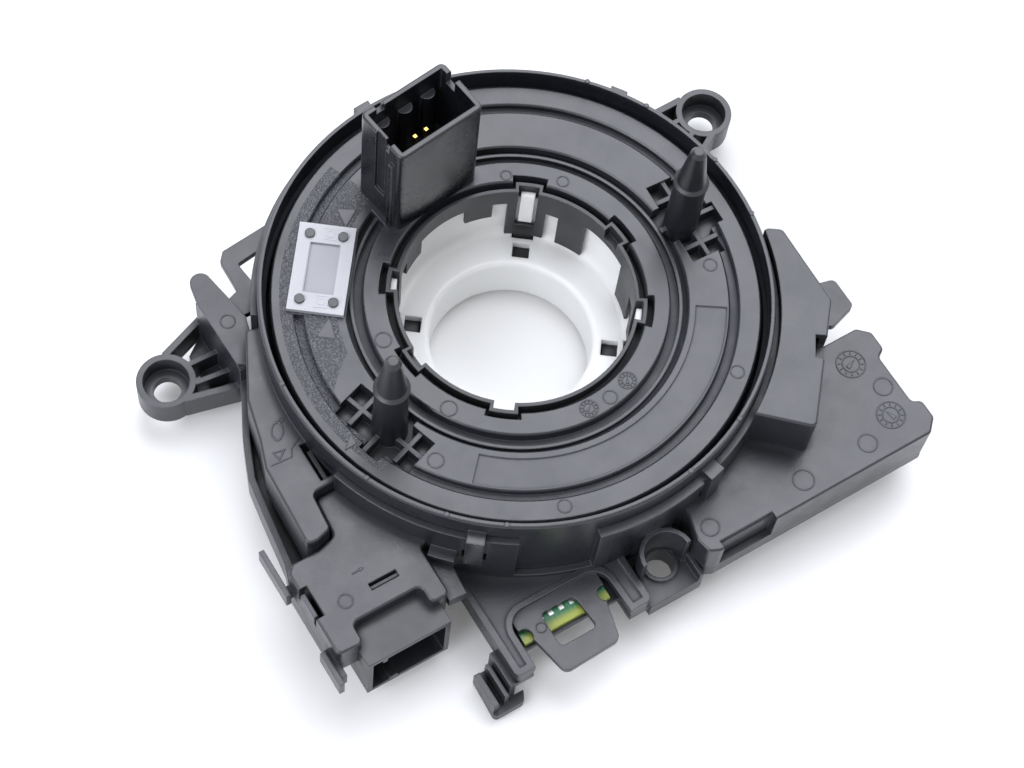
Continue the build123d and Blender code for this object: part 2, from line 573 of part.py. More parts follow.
def ribbon_terminal_inner():
    # block at the core that ties the ribbon to the plug's contacts
    top = CUP_TOP
    piece = block(-4, 4, CUP_OUTER, RIBBON_START, DRUM_FLANGE_TOP, top)
    piece &= ring(RIBBON_START - GAP, CORE_OUTER, 0, RIM_TOP)
    return piece + block(-4, 4, CORE_OUTER + 0.1, PLUG_RADIUS + 1.4, top - 0.1, COVER_BOTTOM)


def cable_passage():
    # way for the ribbon's outer end through the drum wall
    piece = sector(WALL_INNER, PASSAGE_INNER, *PASSAGE, PASSAGE_LOW, RIBBON_TOP)
    return piece + sector(WALL_OUTER + 2, RIM_RADIUS, *PASSAGE, PASSAGE_LOW, NECK_TOP)


def ribbon_terminal_outer():
    # block in the drum wall with a neck to the back of the socket
    neck = HARNESS_SIDE * block(-10, -3, SOCKET_BACK, SOCKET_BACK + 5.6, PASSAGE_LOW, NECK_TOP)
    piece = (cable_passage() - disc(PASSAGE_INNER, 0, RIM_TOP)) + (neck - inside_wall())
    return piece - HARNESS_SIDE * socket_body()


def board_passage():
    # way for the circuit board through the drum wall
    way = FRONT_SIDE * block(9, 33, 0, 17, FLOOR_TOP, FLOOR_TOP + 8)
    return way & ring(WALL_OUTER + 0.1, DRUM_INNER - 6, FLOOR_TOP, FLOOR_TOP + 8)


def socket_body():
    return block(*SOCKET_X, SOCKET_FRONT, SOCKET_BACK, SOCKET_LOW, SOCKET_TOP)


def socket_pins():
    # two rows of contacts
    middle = (SOCKET_LOW + SOCKET_TOP) / 2
    pin = block(-PIN_HALF, PIN_HALF, SOCKET_BACK - 11.4, SOCKET_BACK, -PIN_HALF, PIN_HALF)
    pins = Part()
    for slot in range(5):
        for z in (middle - 1.6, middle + 1.6):
            pins += Pos(SOCKET_X[0] + 3.6 + slot * PITCH, 0, z) * pin
    return pins


def harness_socket():
    x_low, x_high = SOCKET_X
    wall = 1.0
    ceiling = SOCKET_TOP - wall
    y_back = SOCKET_BACK - 2
    piece = socket_body()
    piece -= block(x_low + wall, x_high - wall, SOCKET_FRONT - 1, y_back, SOCKET_LOW + wall, ceiling)
    piece += block(x_low + 3, x_low + 3.9, SOCKET_FRONT, y_back, ceiling - 1.2, ceiling)
    piece += block(x_low + 4.6, x_low + 6.2, SOCKET_FRONT, y_back, SOCKET_LOW + wall, SOCKET_LOW + wall + 0.9)
    return HARNESS_SIDE * (piece - socket_pins())


def harness_pins():
    return HARNESS_SIDE * socket_pins()


def plug_cover():
    # cover of the plug bay: two legs reach forward past the socket
    piece = lid(COVER, BAY_TOP, COVER_TOP) - socket_body()
    # slot in the top, latch notch in the left wall
    low = COVER_TOP - 4
    piece -= block(-10.6, -5.0, -4.5, -3.1, COVER_TOP - 2, COVER_TOP + 1)
    piece += block(-10.6, -5.0, -4.2, -3.6, COVER_TOP - LID, COVER_TOP - 0.5)
    piece -= block(-22, -20, -4.4, 2.0, low, COVER_TOP + 1)
    piece += block(-21.7, -20.9, -3.6, 1.2, low, COVER_TOP - 1)
    # stand-off latch bars
    for start, end, tie in ((3, 13, 3.6), (-16, -9, -11.6)):
        bar = block(-23.6, -22.6, start, end, BAY_TOP + 0.4, BAY_TOP + 4.4)
        piece += bar + block(-22.7, -21.2, tie, tie + 1.6, BAY_TOP + 1, BAY_TOP + 3.6)
    piece += block(-22.8, -21.3, -14.6, -8.6, BAY_TOP, BAY_TOP + 3.6)
    # low strip and triangular facet beside the cover
    piece += prism([(1, -1), (1, -12), (4.4, -12.2), (5.2, -3)], BAY_TOP + 2, BAY_TOP + 4.6)
    return HARNESS_SIDE * piece - inside_wall() - ribbon_terminal_outer()


def front_panel():
    # apron plate with a U-shaped mouth, raised border and the tab with its window
    under = PANEL_TOP - LID
    mouth = make_face(Polyline(*MOUTH, close=True))
    mouth = fillet(mouth.vertices().group_by(Axis.Y)[-1], MOUTH_BEND)
    opening = extrude(Pos(0, 0, FLOOR_TOP - 1) * mouth, RIM_TOP)
    plate = prism(PANEL, under, PANEL_TOP, CORNER)
    plate += walls(PANEL, FLOOR_TOP, under) - block(-30.9, -9.9, -9, 20, 0, RIM_TOP)
    plate += walls(PANEL, PANEL_TOP, PANEL_TOP + 0.5)
    plate += extrude(Pos(0, 0, PANEL_TOP) * offset(mouth, 1.2), 0.5) & prism(PANEL, 0, RIM_TOP, CORNER)
    plate -= opening
    tab = prism(TAB, under, PANEL_TOP - 0.2, 1.6)
    tab -= prism([(-24.6, -7.4), (-16.8, -7.4), (-17.4, -0.2), (-24.6, -0.2)], 0, RIM_TOP, 1.0)
    for x in (-29.2, -12.2):
        tab -= Pos(x, -2.6, 0) * disc(1.5, 0, RIM_TOP)
    tab += Pos(-25.8, -2.6, 0) * disc(0.9, PANEL_TOP - 0.3, PANEL_TOP)
    return FRONT_SIDE * (plate + tab) - inside_wall()


def contact_board():
    board = block(-29.6, -11.4, -3.4, 10, FLOOR_TOP, FLOOR_TOP + BOARD)
    return FRONT_SIDE * board - inside_wall()


def board_pads():
    pads = Part()
    top = FLOOR_TOP + BOARD
    for x in (-24.6, -22.4, -20.2, -18.0):
        pads += block(x - 0.45, x + 0.45, -1.0, 0.8, top, top + 0.1)
    return FRONT_SIDE * pads


def harness_clip():
    # hook-shaped foot on the apron's left wall that carries the harness
    low = BASE_Z + 0.2
    foot = [(-39.8, -10.6), (-33.6, -10.6), (-32.6, -8.8), (-34.6, -2), (-39.4, -2)]
    piece = prism(foot, low, 1, 0.8)
    piece += block(-39.8, -38.6, -9.8, -2.8, 1, 4.6)
    piece += block(-37.2, -36.4, -9.4, -2.4, 1, FLOOR_LOW)
    piece += block(-35.8, -34.6, -8.6, -1.4, low, FLOOR_TOP + 0.4)
    piece -= block(-38.4, -37.4, -8.6, -4, low - 1, 2)
    return FRONT_SIDE * (piece - prism(APRON, low - 1, RIM_TOP))


def sensor_box_cover():
    piece = lid(BOX, BOX_SEAM, BOX_TOP)
    # sunk snap in the front wall
    piece -= block(9, 20.6, -9, -6.6, BOX_SEAM - 1, BOX_TOP + 1)
    snap = block(8.2, 21.4, -7.3, -6.0, BOX_SEAM, BOX_TOP - 1.2)
    piece += snap - block(9, 20.6, -9, -6.9, 0, RIM_TOP)
    # room for the bracket of the raised cap
    piece -= block(40, 60, 16.5, 40, 0, RIM_TOP)
    return FRONT_SIDE * piece - inside_wall()


def side_cap():
    # raised cap beside the drum, with a dark slot at its edge
    piece = lid(CAP, BOX_TOP, CAP_TOP)
    piece -= prism([(43.2, 15.6), (46.4, 13.4), (42.8, 9.4), (40.6, 11.8)], CAP_TOP - 4, CAP_TOP + 1)
    return FRONT_SIDE * piece - inside_wall()


def code_disc():
    piece = ring(DISC_RADIUS, CUP_OUTER, DISC_LOW, DISC_TOP)
    piece += ring(CUP_OUTER + 1.4, CUP_OUTER, DISC_LOW, DRUM_FLANGE_LOW)
    slots = 36
    for count in range(slots):
        slot = block(DISC_RADIUS - 3.6, DISC_RADIUS - 1, -1.1, 1.1, DISC_LOW - 1, DISC_TOP + 1)
        piece -= at(0, count * 360 / slots, slot)
    return piece


def sensor_board():
    outline = [(9.2, 6), (9.2, -5.6), (53, -6.6), (54.2, -5), (54.2, 14), (40, 13.4), (32, 13.2), (24, 24),
               (10, 16)]
    return FRONT_SIDE * prism(outline, FLOOR_TOP, FLOOR_TOP + BOARD)


def light_barriers():
    # two forks that the slots of the code disc pass through
    forks = Part()
    near = DISC_RADIUS - 3.4
    far = DISC_RADIUS + 3.4
    for angle in (-56, -68):
        fork = block(near, far, -2.6, 2.6, FLOOR_TOP + BOARD, DRUM_FLANGE_LOW - 0.4)
        fork -= block(near - 1, DISC_RADIUS + 1, -3, 3, DISC_LOW - 0.5, DISC_TOP + 0.5)
        forks += at(0, angle, fork)
    return forks


TURNING = {
    "rotor_cover": rotor_cover,
    "wheel_plug": wheel_plug,
    "wheel_plug_pins": wheel_plug_pins,
    "drive_post_right": drive_post,
    "drive_post_left": lambda: mirror(drive_post(), Plane.YZ),
    "centring_window": centring_window,
    "hub_clip_ring": hub_clip_ring,
    "hub_sleeve": hub_sleeve,
    "winding_drum": winding_drum,
    "ribbon_terminal_inner": ribbon_terminal_inner,
    "code_disc": code_disc,
}
STANDING = {
    "lower_housing": lower_housing,
    "drum_ring": drum_ring,
    "plug_cover": plug_cover,
    "harness_socket": harness_socket,
    "harness_pins": harness_pins,
    "front_panel": front_panel,
    "contact_board": contact_board,
    "board_pads": board_pads,
    "harness_clip": harness_clip,
    "sensor_box_cover": sensor_box_cover,
    "side_cap": side_cap,
    "sensor_board": sensor_board,
    "light_barriers": light_barriers,
    "ribbon_cable": ribbon_cable,
    "ribbon_terminal_outer": ribbon_terminal_outer,
}

for name, make in TURNING.items():
    save(name, make(), ROTOR_TURN)
for name, make in STANDING.items():
    save(name, make())
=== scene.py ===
# %% [markdown]
# # A steering clock spring, dressed over its CAD frame
# The part is a flat black drum that sits behind a steering wheel. Its rotor carries an
# upright socket, two drive posts and a clear window, and a white sleeve lines the bore.

# %% Load the frame
import bmesh
import bpy
import math
from mathutils import Matrix, Vector


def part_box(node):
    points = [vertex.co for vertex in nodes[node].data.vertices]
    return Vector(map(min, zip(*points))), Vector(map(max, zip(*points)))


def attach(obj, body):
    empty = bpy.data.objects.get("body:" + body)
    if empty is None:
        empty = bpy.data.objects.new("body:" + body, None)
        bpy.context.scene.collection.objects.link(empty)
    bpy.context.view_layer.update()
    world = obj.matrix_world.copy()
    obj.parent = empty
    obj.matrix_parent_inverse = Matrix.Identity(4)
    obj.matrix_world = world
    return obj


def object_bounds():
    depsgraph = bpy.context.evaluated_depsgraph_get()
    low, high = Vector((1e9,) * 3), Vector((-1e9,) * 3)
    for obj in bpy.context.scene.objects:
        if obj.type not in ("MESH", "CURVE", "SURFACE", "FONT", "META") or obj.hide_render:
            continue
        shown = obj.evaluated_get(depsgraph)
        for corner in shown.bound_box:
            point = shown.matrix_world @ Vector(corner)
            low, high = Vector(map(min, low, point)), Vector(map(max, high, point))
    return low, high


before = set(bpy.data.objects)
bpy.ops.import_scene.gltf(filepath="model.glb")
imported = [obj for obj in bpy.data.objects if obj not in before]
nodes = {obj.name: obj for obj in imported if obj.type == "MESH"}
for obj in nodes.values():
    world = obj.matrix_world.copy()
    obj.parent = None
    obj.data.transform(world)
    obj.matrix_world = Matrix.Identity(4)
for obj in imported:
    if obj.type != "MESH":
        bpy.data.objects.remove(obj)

cad_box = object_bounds()
print("CAD nodes:", len(nodes))

# %% [markdown]
# Sizes are easiest to think of in millimetres, while Blender works in metres, and
# colours are easiest to name as the hex values a screen shows. Two short functions
# turn both into what Blender wants, and a third adds one shader node with its
# settings and links, which keeps every material below short enough to read.

# %% Units, colours and shader nodes
MM = 0.001


def per(size):
    """Texture scale that gives features of about this size in millimetres."""
    return 1.0 / (size * MM)


def linear(hex_value, alpha=1.0):
    """An sRGB hex colour as the linear values that shaders use."""
    parts = [int(hex_value[i:i + 2], 16) / 255 for i in (1, 3, 5)]
    return tuple(c / 12.92 if c <= 0.04045 else ((c + 0.055) / 1.055) ** 2.4 for c in parts) + (alpha,)


def add(tree, kind, links=(), values=(), **settings):
    """A shader node with its settings, its socket values and the links that feed it."""
    node = tree.nodes.new("ShaderNode" + kind)
    for name, value in settings.items():
        setattr(node, name, value)
    for socket, value in dict(values).items():
        node.inputs[socket].default_value = value
    for socket, source in dict(links).items():
        tree.links.new(source, node.inputs[socket])
    return node


def new_material(name):
    """An empty material with its output and a Principled shader joined to it."""
    material = bpy.data.materials.new(name)
    material.use_nodes = True
    tree = material.node_tree
    tree.nodes.clear()
    shader = add(tree, "BsdfPrincipled")
    add(tree, "OutputMaterial", {"Surface": shader.outputs["BSDF"]})
    return material, tree, shader


# %% [markdown]
# ## Camera
# The photograph looks down on the part from the front left, about 64 degrees above the
# table. A long lens of 84 mm keeps the drum nearly round. The camera's place and
# its three axes were worked out from the drum's rim, its bore and the straight edges
# of the boxes, so they are set as one matrix and not by eye.

# %% Camera
right = Vector((0.85026802, -0.52191683, 0.06816979))
up = Vector((0.44473086, 0.78164269, 0.43732044))
forward = Vector((0.28152934, 0.34152238, -0.8967183))
place = Vector((-132.068, -162.730, 414.784)) * MM

lens = bpy.data.cameras.new("camera")
lens.lens = 84.375
lens.sensor_width = 36
lens.clip_start = 0.01
camera = bpy.data.objects.new("camera", lens)
bpy.context.collection.objects.link(camera)
turn = Matrix((right, up, -forward)).transposed().to_4x4()
camera.matrix_world = Matrix.Translation(place) @ turn
bpy.context.scene.camera = camera
print("camera height above the part:", round(place.z / MM), "mm")

# %% [markdown]
# ## Floor and light
# The part lies on a white sheet in a bright studio tent. Black plastic hardly shows
# its own colour: what the eye reads is the light mirrored in it. So the big soft lamp
# stands where the top faces mirror it into the camera, behind and to the right of the
# part, and a smaller one on the left opens the shadows and reaches into the sleeve's
# cup. Walls mirror the sheet instead, so the sheet glows a little for the camera and for
# mirrored rays, which keeps the shadows on it pale and lifts the walls.

# %% Floor
FLOOR_GAP = 0.4 * MM
SHEET_HALF = 2.5
floor_z = cad_box[0][2] - FLOOR_GAP
sheet = bmesh.new()
bmesh.ops.create_grid(sheet, x_segments=1, y_segments=1, size=SHEET_HALF)
bmesh.ops.translate(sheet, vec=(0, 0, floor_z), verts=sheet.verts)
floor_mesh = bpy.data.meshes.new("floor")
sheet.to_mesh(floor_mesh)
sheet.free()
floor = bpy.data.objects.new("floor", floor_mesh)
bpy.context.collection.objects.link(floor)

paper, tree, shader = new_material("matt white paper")
shader.inputs["Base Color"].default_value = linear("#f4f4f4")
shader.inputs["Roughness"].default_value = 0.9
shader.inputs["Specular IOR Level"].default_value = 0.2
rays = add(tree, "LightPath")
seen = add(tree, "Math", {0: rays.outputs["Is Camera Ray"], 1: rays.outputs["Is Glossy Ray"]},
           operation="MAXIMUM")
glow = add(tree, "MapRange", {"Value": seen.outputs[0]}, {"To Min": 0.0, "To Max": 0.08})
shader.inputs["Emission Color"].default_value = (1, 1, 1, 1)
tree.links.new(glow.outputs[0], shader.inputs["Emission Strength"])
floor_mesh.materials.append(paper)
print("floor at z:", round(floor_z / MM, 1), "mm")

# %% Lamps and sky
def soft_lamp(name, direction, distance, size, radiance):
    """A square lamp that faces the part and shines with that radiance, where 1 is white."""
    light = bpy.data.lights.new(name, "AREA")
    light.shape = "SQUARE"
    light.size = size
    light.energy = radiance * math.pi * size * size
    light.color = linear("#f3f6ff")[:3]
    lamp = bpy.data.objects.new(name, light)
    towards = Vector(direction).normalized()
    facing = towards.to_track_quat("Z", "Y").to_matrix().to_4x4()
    lamp.matrix_world = Matrix.Translation(towards * distance) @ facing
    bpy.context.collection.objects.link(lamp)
    print(name, "at", [round(c, 2) for c in lamp.matrix_world.translation], "m")


mirrored = Vector((forward.x, forward.y, -forward.z))
soft_lamp("overhead softbox", mirrored + Vector((0.12, 0.02, 0)), distance=1.3, size=1.15, radiance=4.3)
soft_lamp("left fill", (-0.9, -0.1, 0.75), distance=1.2, size=0.85, radiance=4.4)

sky = bpy.data.worlds.new("studio")
bpy.context.scene.world = sky
sky.use_nodes = True
tree = sky.node_tree
tree.nodes.clear()
rays = add(tree, "LightPath")
clear = add(tree, "Math", {0: rays.outputs["Is Camera Ray"], 1: rays.outputs["Is Transmission Ray"]},
            operation="MAXIMUM")
white = add(tree, "Math", {0: clear.outputs[0], 1: rays.outputs["Is Glossy Ray"]}, operation="MAXIMUM")
strength = add(tree, "MapRange", {"Value": white.outputs[0]}, {"To Min": 0.45, "To Max": 1.0})
ground = add(tree, "Background", {"Strength": strength.outputs[0]}, {"Color": (1, 1, 1, 1)})
add(tree, "OutputWorld", {"Surface": ground.outputs[0]})
bpy.context.scene.view_settings.view_transform = "Standard"

# %% [markdown]
# ## Black moulded plastics
# Almost the whole part is black engineering plastic: glass-filled PBT for the housing
# and boxes, acetal for the rotor. Both are dyed through, and the tool's surface
# decides how they shine. A spark-eroded tool leaves a fine even grain, which spreads
# the mirrored lamp into a soft grey. The edges carry a painted highlight, a paler grey in
# the base colour, and creases stay dull, because dust and mould release gather
# there and nothing rubs them.
# One function makes the family, so each finish is only a colour, a roughness, the
# size of its grain and how deep it goes.

# %% A moulded black
def moulding(name, colour, roughness, grain, depth, edge=0.3):
    """Moulded plastic: grain size, grain depth and edge radius in millimetres."""
    material, tree, shader = new_material(name)
    where = add(tree, "TexCoord").outputs["Object"]
    fine = add(tree, "TexNoise", {"Vector": where}, {"Scale": per(grain), "Detail": 3.0, "Roughness": 0.6})
    cloud = add(tree, "TexNoise", {"Vector": where}, {"Scale": per(9), "Detail": 5.0, "Roughness": 0.7})
    # rounded edges: the Bevel node turns the normal over that radius
    soft = add(tree, "Bevel", values={"Radius": edge * MM}, samples=6)
    flat = add(tree, "NewGeometry").outputs["Normal"]
    same = add(tree, "VectorMath", {0: soft.outputs[0], 1: flat}, operation="DOT_PRODUCT")
    # painted highlight: a paler grey in the base colour along the rounded edges, broken up by the cloud
    edge_highlight = add(tree, "MapRange", {"Value": same.outputs["Value"]},
               {"From Min": 0.995, "From Max": 0.75, "To Min": 0.0, "To Max": 0.8})
    broken_highlight = add(tree, "Math", {0: edge_highlight.outputs[0], 1: cloud.outputs["Fac"]}, operation="MULTIPLY")
    dark, highlight_grey = linear(colour), linear("#83868f")
    shade = add(tree, "Mix", {"Factor": cloud.outputs["Fac"]}, data_type="RGBA")
    shade.inputs["A"].default_value = tuple(c * 0.8 for c in dark[:3]) + (1,)
    shade.inputs["B"].default_value = tuple(c * 1.2 for c in dark[:3]) + (1,)
    # the painted edge highlight is mixed into the base colour here
    highlighted = add(tree, "Mix", {"Factor": broken_highlight.outputs[0], "A": shade.outputs["Result"]}, data_type="RGBA")
    highlighted.inputs["B"].default_value = highlight_grey
    gloss = add(tree, "MapRange", {"Value": cloud.outputs["Fac"]},
                {"From Min": 0.3, "From Max": 0.7, "To Min": roughness - 0.06, "To Max": roughness + 0.1})
    # creases: where another wall stands close by, the surface is duller
    crease = add(tree, "AmbientOcclusion", values={"Distance": 1.6 * MM}, samples=6)
    dull = add(tree, "MapRange", {"Value": crease.outputs["AO"]},
               {"From Min": 0.4, "From Max": 0.95, "To Min": 0.45, "To Max": 0.0})
    matt = add(tree, "Math", {0: gloss.outputs[0], 1: dull.outputs[0]}, operation="ADD", use_clamp=True)
    bump = add(tree, "Bump", {"Height": fine.outputs["Fac"], "Normal": soft.outputs[0]},
               {"Strength": 0.5, "Distance": depth * MM})
    tree.links.new(highlighted.outputs["Result"], shader.inputs["Base Color"])
    tree.links.new(matt.outputs[0], shader.inputs["Roughness"])
    tree.links.new(bump.outputs[0], shader.inputs["Normal"])
    shader.inputs["IOR"].default_value = 1.57
    return material


housing_black = moulding("PBT spark-eroded black", "#22242a", 0.33, 0.5, 0.05)
drum_black = moulding("PBT satin black", "#212329", 0.29, 0.6, 0.016)
cover_black = moulding("PBT fine-grained black", "#24262c", 0.31, 0.5, 0.045)
socket_black = moulding("PBT socket black", "#17191e", 0.34, 0.6, 0.012)
rotor_black = moulding("acetal satin black", "#23252b", 0.29, 0.6, 0.018)
plug_black = moulding("PBT polished black", "#14161b", 0.26, 0.9, 0.008)
post_black = moulding("acetal post black", "#191b20", 0.36, 0.6, 0.012)
clip_black = moulding("acetal clip black", "#15171b", 0.4, 0.5, 0.014)
disc_black = moulding("film matt black", "#0d0d0f", 0.6, 0.3, 0.004)
print("black finishes:", len([m for m in bpy.data.materials if "black" in m.name]))

# %% [markdown]
# ## Grained field of the rotor
# On the left, the rotor's top is eroded much deeper than the rest, so it scatters the
# lamp and looks dark and speckled. The piece is one moulding, so the field belongs in
# its material: a mask in Object coordinates, which turn with the rotor. It's turned so
# that the field's middle lies on +X, where an angle, a radius and a height bound it.

# %% Coarse grain inside a mask
FIELD_MIDDLE = math.radians(158.5)
FIELD_HALF = math.radians(46.5)
FIELD_INNER, FIELD_STEPPED, FIELD_OUTER = 33.3 * MM, 39.9 * MM, 43.5 * MM
FIELD_TOP = 27.5 * MM
STEP_START, STEP_END = math.radians(13), math.radians(24)

tree = rotor_black.node_tree
shader = next(node for node in tree.nodes if node.type == "BSDF_PRINCIPLED")
where = add(tree, "TexCoord").outputs["Object"]
turned = add(tree, "Mapping", {"Vector": where}, {"Rotation": (0, 0, -FIELD_MIDDLE)})
along = add(tree, "SeparateXYZ", {"Vector": turned.outputs[0]})
angle = add(tree, "Math", {0: along.outputs["Y"], 1: along.outputs["X"]}, operation="ARCTAN2")
level = add(tree, "VectorMath", {0: turned.outputs[0]}, {1: (1, 1, 0)}, operation="MULTIPLY")
radius = add(tree, "VectorMath", {0: level.outputs[0]}, operation="LENGTH")
# the inner edge steps out from the middle ring to the outer one, and a smooth rim stays
inner = add(tree, "MapRange", {"Value": angle.outputs[0]},
            {"From Min": STEP_START, "From Max": STEP_END, "To Min": FIELD_INNER, "To Max": FIELD_STEPPED})
beyond = add(tree, "Math", {0: radius.outputs["Value"], 1: inner.outputs[0]}, operation="GREATER_THAN")
within = add(tree, "Math", {0: radius.outputs["Value"]}, {1: FIELD_OUTER}, operation="LESS_THAN")
spread = add(tree, "Math", {0: angle.outputs[0]}, operation="ABSOLUTE")
between = add(tree, "Math", {0: spread.outputs[0]}, {1: FIELD_HALF}, operation="LESS_THAN")
sector = add(tree, "Math", {0: beyond.outputs[0], 1: between.outputs[0]}, operation="MULTIPLY")
# the pins that hold the window rise above the field and stay smooth
under = add(tree, "Math", {0: along.outputs["Z"]}, {1: FIELD_TOP}, operation="LESS_THAN")
level_sector = add(tree, "Math", {0: sector.outputs[0], 1: under.outputs[0]}, operation="MULTIPLY")
field = add(tree, "Math", {0: level_sector.outputs[0], 1: within.outputs[0]}, operation="MULTIPLY")

pits = add(tree, "TexNoise", {"Vector": where}, {"Scale": per(0.3), "Detail": 1.0, "Roughness": 0.5})
smooth = shader.inputs["Normal"].links[0].from_socket
coarse = add(tree, "Bump", {"Height": pits.outputs["Fac"], "Strength": field.outputs[0], "Normal": smooth},
             {"Distance": 0.2 * MM})
tree.links.new(coarse.outputs[0], shader.inputs["Normal"])

# the crests of the grain are rubbed lighter than the pits
crest = add(tree, "MapRange", {"Value": pits.outputs["Fac"]},
            {"From Min": 0.48, "From Max": 0.66, "To Min": 0.0, "To Max": 0.4})
rubbed = add(tree, "Math", {0: crest.outputs[0], 1: field.outputs[0]}, operation="MULTIPLY")
plain = shader.inputs["Base Color"].links[0].from_socket
speckled = add(tree, "Mix", {"Factor": rubbed.outputs[0], "A": plain}, data_type="RGBA")
speckled.inputs["B"].default_value = linear("#7b7e87")
tree.links.new(speckled.outputs["Result"], shader.inputs["Base Color"])

gloss = shader.inputs["Roughness"].links[0].from_socket
rough = add(tree, "Mix", {"Factor": field.outputs[0], "A": gloss}, {"B": 0.4})
tree.links.new(rough.outputs["Result"], shader.inputs["Roughness"])
print("grained field in degrees:", round(math.degrees(FIELD_MIDDLE - FIELD_HALF)), "to",
      round(math.degrees(FIELD_MIDDLE + FIELD_HALF)))

# %% [markdown]
# ## White sleeve
# The bearing sleeve is acetal in its natural white. It is slightly see-through, so
# light travels a millimetre or two inside it and the shadows in the cup turn milky.
# Subsurface scattering does that, with a smooth surface that stays slippery.

# %% Natural acetal
SCATTER = 1.5 * MM
white_acetal, tree, shader = new_material("acetal natural white")
where = add(tree, "TexCoord").outputs["Object"]
cloud = add(tree, "TexNoise", {"Vector": where}, {"Scale": per(9), "Detail": 3.0})
tint = add(tree, "Mix", {"Factor": cloud.outputs["Fac"]}, data_type="RGBA")
tint.inputs["A"].default_value = linear("#f7f8f6")
tint.inputs["B"].default_value = linear("#fcfcfa")
soft = add(tree, "Bevel", values={"Radius": 0.3 * MM}, samples=6)
flow = add(tree, "TexNoise", {"Vector": where}, {"Scale": per(0.8), "Detail": 2.0})
bump = add(tree, "Bump", {"Height": flow.outputs["Fac"], "Normal": soft.outputs[0]},
           {"Strength": 0.3, "Distance": 0.01 * MM})
tree.links.new(tint.outputs["Result"], shader.inputs["Base Color"])
tree.links.new(bump.outputs[0], shader.inputs["Normal"])
shader.inputs["Roughness"].default_value = 0.32
shader.inputs["IOR"].default_value = 1.48
shader.inputs["Subsurface Weight"].default_value = 0.5
shader.inputs["Subsurface Radius"].default_value = (1.0, 1.0, 1.0)
shader.inputs["Subsurface Scale"].default_value = SCATTER
print(white_acetal.name, "scatters light over", round(SCATTER / MM, 1), "mm")

# %% [markdown]
# ## Clear window
# A small clear plate with a frosted face sits on four pins. It is moulded
# polycarbonate: the light goes through, but the frosting scatters it, so it looks pale
# grey and lets the pins' heads show. A rough transmission gives that look. Its sunk
# middle is clearer than its frame, so the dark rotor shows through it a little: two
# distances from the plate's middle tell the two apart.

# %% Frosted polycarbonate
frosted, tree, shader = new_material("polycarbonate frosted")
where = add(tree, "TexCoord").outputs["Object"]
frost = add(tree, "TexNoise", {"Vector": where}, {"Scale": per(0.35), "Detail": 4.0})
cloud = add(tree, "TexNoise", {"Vector": where}, {"Scale": per(5), "Detail": 3.0})
gloss = add(tree, "MapRange", {"Value": cloud.outputs["Fac"]}, {"To Min": 0.22, "To Max": 0.5})
bump = add(tree, "Bump", {"Height": frost.outputs["Fac"]}, {"Strength": 0.6, "Distance": 0.05 * MM})

WINDOW_SUNK_HALF = (2.9 * MM, 5.3 * MM)
low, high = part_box("centring_window")
middle = Vector((low[0] + high[0], low[1] + high[1], 0)) / 2
turned = add(tree, "Mapping", {"Vector": where}, {"Rotation": (0, 0, -math.atan2(middle.y, middle.x))})
along = add(tree, "SeparateXYZ", {"Vector": turned.outputs[0]})
out = add(tree, "Math", {0: along.outputs["X"]}, {1: middle.length, 2: WINDOW_SUNK_HALF[0]},
          operation="COMPARE")
side = add(tree, "Math", {0: along.outputs["Y"]}, {1: 0.0, 2: WINDOW_SUNK_HALF[1]}, operation="COMPARE")
sunk = add(tree, "Math", {0: out.outputs[0], 1: side.outputs[0]}, operation="MULTIPLY")
tone = add(tree, "Mix", {"Factor": sunk.outputs[0]}, data_type="RGBA")
tone.inputs["A"].default_value = linear("#dcdde3")
tone.inputs["B"].default_value = linear("#b6b7c0")
tree.links.new(tone.outputs["Result"], shader.inputs["Base Color"])
tree.links.new(gloss.outputs[0], shader.inputs["Roughness"])
tree.links.new(bump.outputs[0], shader.inputs["Normal"])
shader.inputs["Transmission Weight"].default_value = 0.4
shader.inputs["IOR"].default_value = 1.58
print("window's middle:", round(middle.length / MM, 1), "mm from the axis")

# %% [markdown]
# ## Metals, boards and ribbon
# The wheel plug's contacts are gold plated and the harness contacts tin plated. The
# boards are glass-fibre laminate under a green resist, with a bare edge where the
# cutter left the yellow laminate open. The ribbon is copper between amber film.

# %% Plated contacts
def plated(name, colour, roughness):
    """Plated metal, with the faint unevenness of its bath."""
    material, tree, shader = new_material(name)
    where = add(tree, "TexCoord").outputs["Object"]
    cloud = add(tree, "TexNoise", {"Vector": where}, {"Scale": per(1.5), "Detail": 3.0})
    tone = add(tree, "Mix", {"Factor": cloud.outputs["Fac"]}, data_type="RGBA")
    tone.inputs["A"].default_value = linear(colour)
    tone.inputs["B"].default_value = tuple(c * 0.8 for c in linear(colour)[:3]) + (1,)
    gloss = add(tree, "MapRange", {"Value": cloud.outputs["Fac"]},
                {"To Min": roughness, "To Max": roughness + 0.12})
    tree.links.new(tone.outputs["Result"], shader.inputs["Base Color"])
    tree.links.new(gloss.outputs[0], shader.inputs["Roughness"])
    shader.inputs["Metallic"].default_value = 1.0
    return material


gold = plated("gold plating", "#e3bd62", 0.22)
tin = plated("tin plating", "#c9c9c6", 0.3)
print("platings:", gold.name, "and", tin.name)

